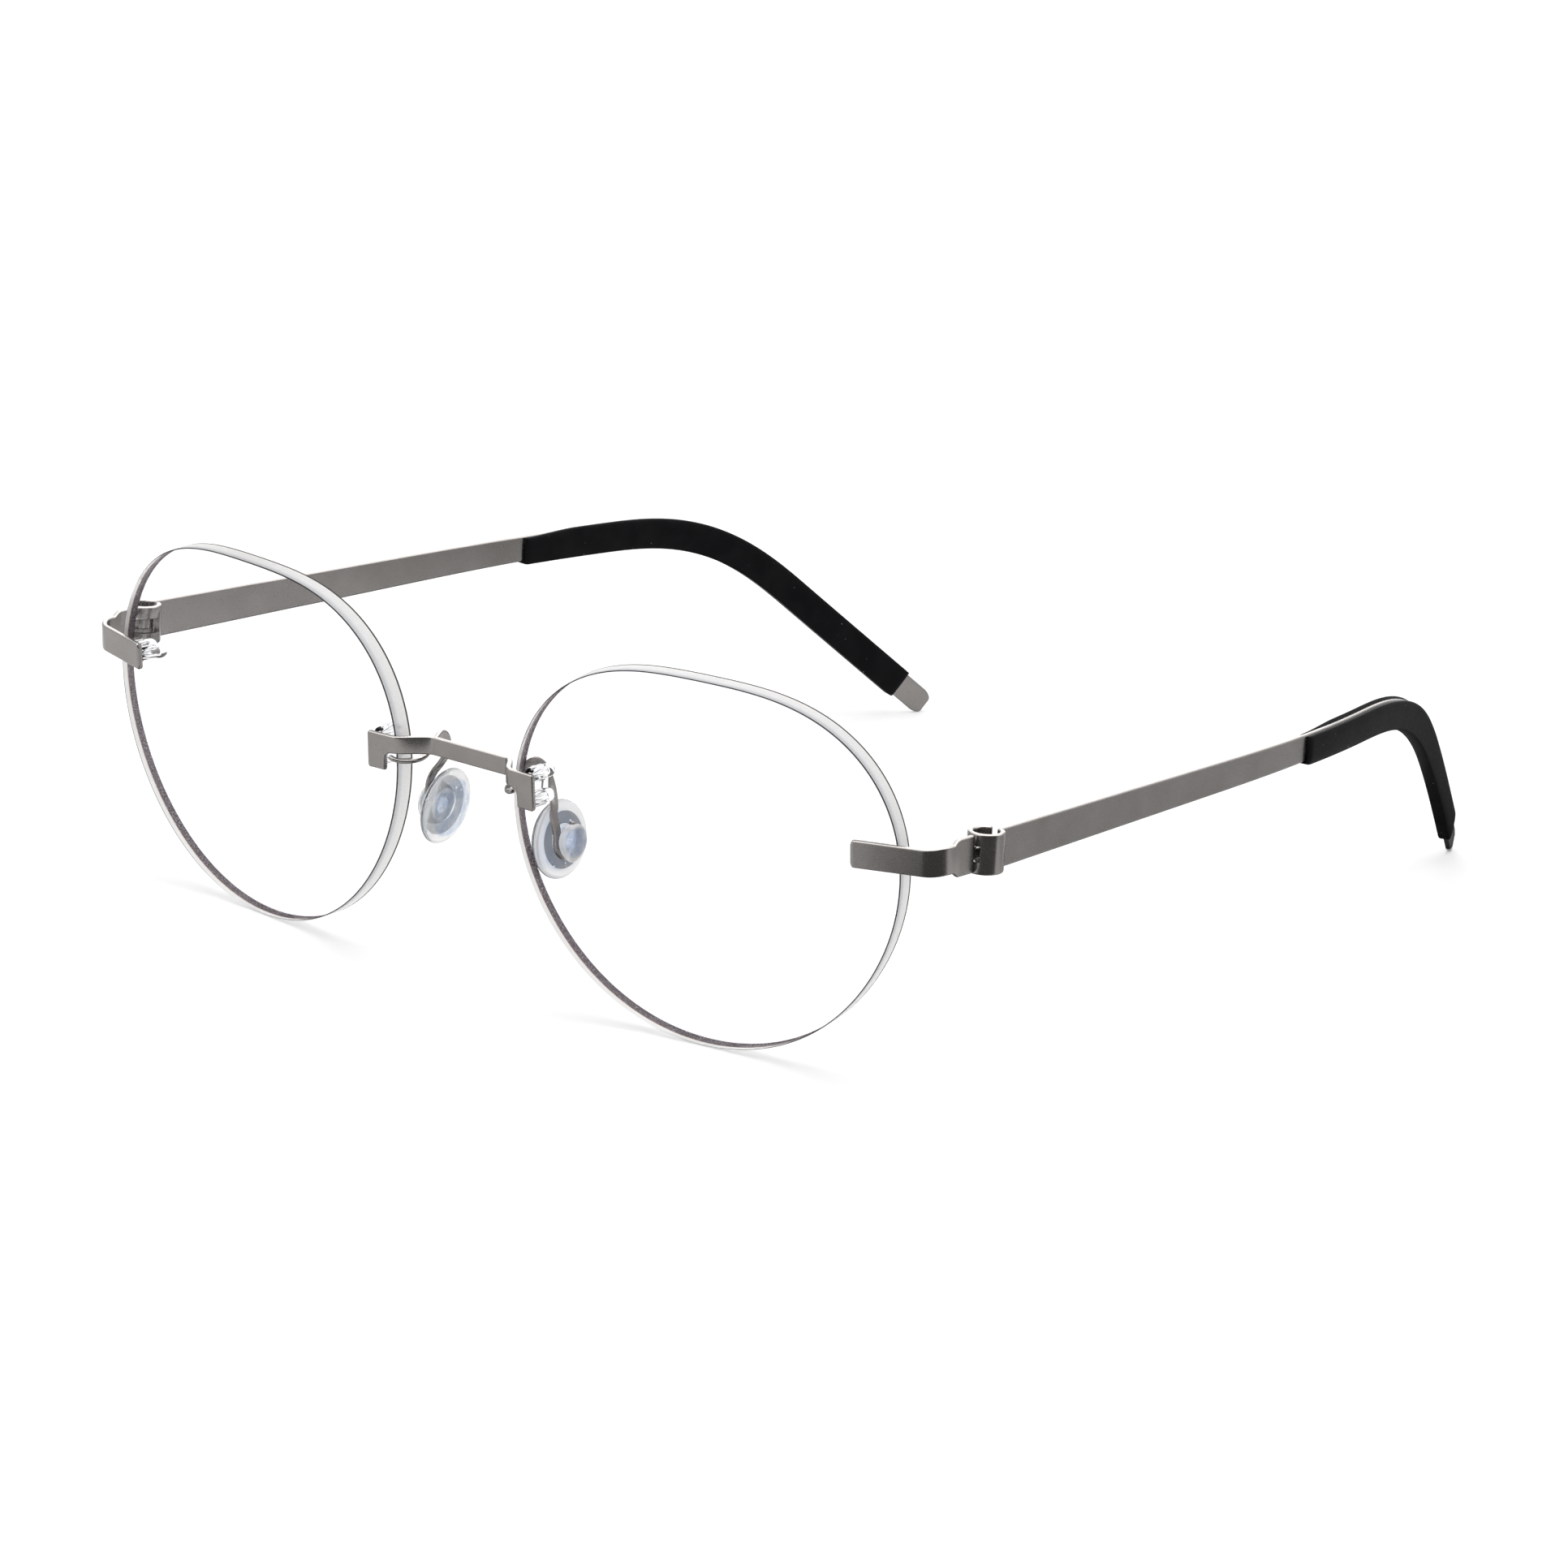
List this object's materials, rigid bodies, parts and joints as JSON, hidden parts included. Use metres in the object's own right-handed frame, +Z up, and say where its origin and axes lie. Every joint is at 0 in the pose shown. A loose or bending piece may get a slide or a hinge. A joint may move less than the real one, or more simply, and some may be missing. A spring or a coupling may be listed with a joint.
{
  "type": "round eyeglasses",
  "caption": "Round rimless eyeglasses of bent metal sheet, with folding temples on rolled screwless hinges, rubber temple sleeves and rocking clear nose pads.",
  "frame": {"origin": "middle of the open glasses' footprint, on the surface that the lower lens edges and the temple tips stand on", "axes": "+Z up, +X towards the wearer's left, -Y the way the wearer looks, so the temples run back along +Y"},
  "size_m": [0.1298, 0.1406, 0.0429],
  "materials": {
    "titanium": "matt bead-blasted titanium sheet",
    "lens": "clear polished lens with an anti-reflection coat and a satin ground edge",
    "bush": "clear polished plastic",
    "silicone": "clear soft silicone",
    "rubber": "black satin rubber"
  },
  "bodies": {
    "front": {"bridge": "titanium", "lens_left": "lens", "lens_right": "lens", "bridge_bush_left": "bush", "bridge_bush_right": "bush", "end_piece_bush_left": "bush", "end_piece_bush_right": "bush", "end_piece_left": "titanium", "end_piece_right": "titanium", "nose_pad_arm_left": "titanium", "nose_pad_arm_right": "titanium"},
    "left_temple": {"temple_left": "titanium", "temple_sleeve_left": "rubber"},
    "right_temple": {"temple_right": "titanium", "temple_sleeve_right": "rubber"},
    "left_pad": {"nose_pad_left": "silicone"},
    "right_pad": {"nose_pad_right": "silicone"}
  },
  "joints": [
    {"name": "left_temple_fold", "type": "hinge", "parent": "front", "child": "left_temple", "pos_m": [0.0628, -0.05328, 0.02721], "axis": [0, 0, 1], "range_deg": [0, 82]},
    {"name": "right_temple_fold", "type": "hinge", "parent": "front", "child": "right_temple", "pos_m": [-0.0628, -0.05328, 0.02721], "axis": [0, 0, -1], "range_deg": [0, 78]},
    {"name": "left_pad_rock", "type": "hinge", "parent": "front", "child": "left_pad", "pos_m": [0.0099, -0.06054, 0.01801], "axis": [-0.1034, 0.1034, 0.9893], "range_deg": [-6, 6]},
    {"name": "right_pad_rock", "type": "hinge", "parent": "front", "child": "right_pad", "pos_m": [-0.0099, -0.06054, 0.01801], "axis": [-0.1034, -0.1034, -0.9893], "range_deg": [-6, 6]}
  ]
}
